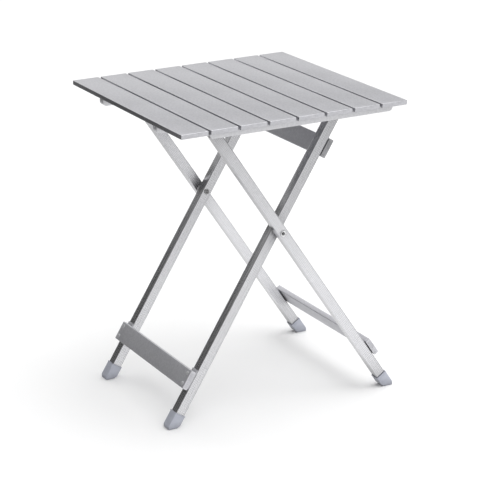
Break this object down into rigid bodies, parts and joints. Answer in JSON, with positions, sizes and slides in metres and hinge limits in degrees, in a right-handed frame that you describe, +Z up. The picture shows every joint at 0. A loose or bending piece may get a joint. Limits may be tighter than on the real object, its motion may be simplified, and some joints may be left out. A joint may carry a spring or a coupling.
{
  "type": "folding side table",
  "caption": "Low camping side table: slatted aluminium top on two crossed, ribbed leg frames that fold like scissors, with flat crossbars and plastic feet.",
  "frame": {"origin": "on the floor, in the middle of the table's footprint", "axes": "+X across the slats, +Y along the slats, +Z up"},
  "size_m": [0.4885, 0.466, 0.6],
  "materials": {
    "slat_aluminium": "satin anodised, brushed along the slat",
    "rail_aluminium": "satin mill finish",
    "leg_aluminium": "satin extruded, ribbed along its length",
    "crossbar_aluminium": "matt grey anodised",
    "rivet_steel": "bright",
    "foot_plastic": "blue grey, fine moulded grain",
    "grey_plastic": "light grey, moulded",
    "nylon": "dark grey nylon"
  },
  "bodies": {
    "inner_frame": {"inner_leg_near": "leg_aluminium", "inner_foot_near": "foot_plastic", "crossing_rivet_near": "rivet_steel", "crossing_ring_near": "nylon", "hinge_rivet_near": "rivet_steel", "inner_leg_far": "leg_aluminium", "inner_foot_far": "foot_plastic", "crossing_rivet_far": "rivet_steel", "crossing_ring_far": "nylon", "hinge_rivet_far": "rivet_steel", "inner_lower_crossbar": "crossbar_aluminium", "inner_lower_crossbar_near_plug": "grey_plastic", "inner_lower_crossbar_near_spacer": "grey_plastic", "inner_lower_crossbar_near_lower_rivet": "rivet_steel", "inner_lower_crossbar_near_upper_rivet": "rivet_steel", "inner_lower_crossbar_far_plug": "grey_plastic", "inner_lower_crossbar_far_spacer": "grey_plastic", "inner_lower_crossbar_far_lower_rivet": "rivet_steel", "inner_lower_crossbar_far_upper_rivet": "rivet_steel", "inner_upper_crossbar": "crossbar_aluminium", "inner_upper_crossbar_near_plug": "grey_plastic", "inner_upper_crossbar_near_spacer": "grey_plastic", "inner_upper_crossbar_near_lower_rivet": "rivet_steel", "inner_upper_crossbar_near_upper_rivet": "rivet_steel", "inner_upper_crossbar_far_plug": "grey_plastic", "inner_upper_crossbar_far_spacer": "grey_plastic", "inner_upper_crossbar_far_lower_rivet": "rivet_steel", "inner_upper_crossbar_far_upper_rivet": "rivet_steel"},
    "outer_frame": {"outer_leg_near": "leg_aluminium", "outer_foot_near": "foot_plastic", "slide_pin_near": "rivet_steel", "slide_bush_near": "nylon", "outer_leg_far": "leg_aluminium", "outer_foot_far": "foot_plastic", "slide_pin_far": "rivet_steel", "slide_bush_far": "nylon", "outer_lower_crossbar": "crossbar_aluminium", "outer_lower_crossbar_near_plug": "grey_plastic", "outer_lower_crossbar_near_spacer": "grey_plastic", "outer_lower_crossbar_near_lower_rivet": "rivet_steel", "outer_lower_crossbar_near_upper_rivet": "rivet_steel", "outer_lower_crossbar_far_plug": "grey_plastic", "outer_lower_crossbar_far_spacer": "grey_plastic", "outer_lower_crossbar_far_lower_rivet": "rivet_steel", "outer_lower_crossbar_far_upper_rivet": "rivet_steel"},
    "tabletop": {"slat_1": "slat_aluminium", "slat_2": "slat_aluminium", "slat_3": "slat_aluminium", "slat_4": "slat_aluminium", "slat_5": "slat_aluminium", "slat_6": "slat_aluminium", "slat_7": "slat_aluminium", "slat_8": "slat_aluminium", "inner_rail_near": "rail_aluminium", "outer_rail_near": "rail_aluminium", "rail_stop_near": "grey_plastic", "inner_rail_far": "rail_aluminium", "outer_rail_far": "rail_aluminium", "rail_stop_far": "grey_plastic"}
  },
  "joints": [
    {"name": "scissor_fold", "type": "hinge", "parent": "inner_frame", "child": "outer_frame", "pos_m": [-0.0058, 0, 0.3605], "axis": [0, 1, 0], "range_deg": [0, 66]},
    {"name": "tabletop_hinge", "type": "hinge", "parent": "inner_frame", "child": "tabletop", "pos_m": [0.1348, 0, 0.577], "axis": [0, 1, 0], "range_deg": [0, 33]}
  ],
  "couplings": [
    {"joint": "tabletop_hinge", "follows": "scissor_fold", "ratio": 0.5}
  ]
}
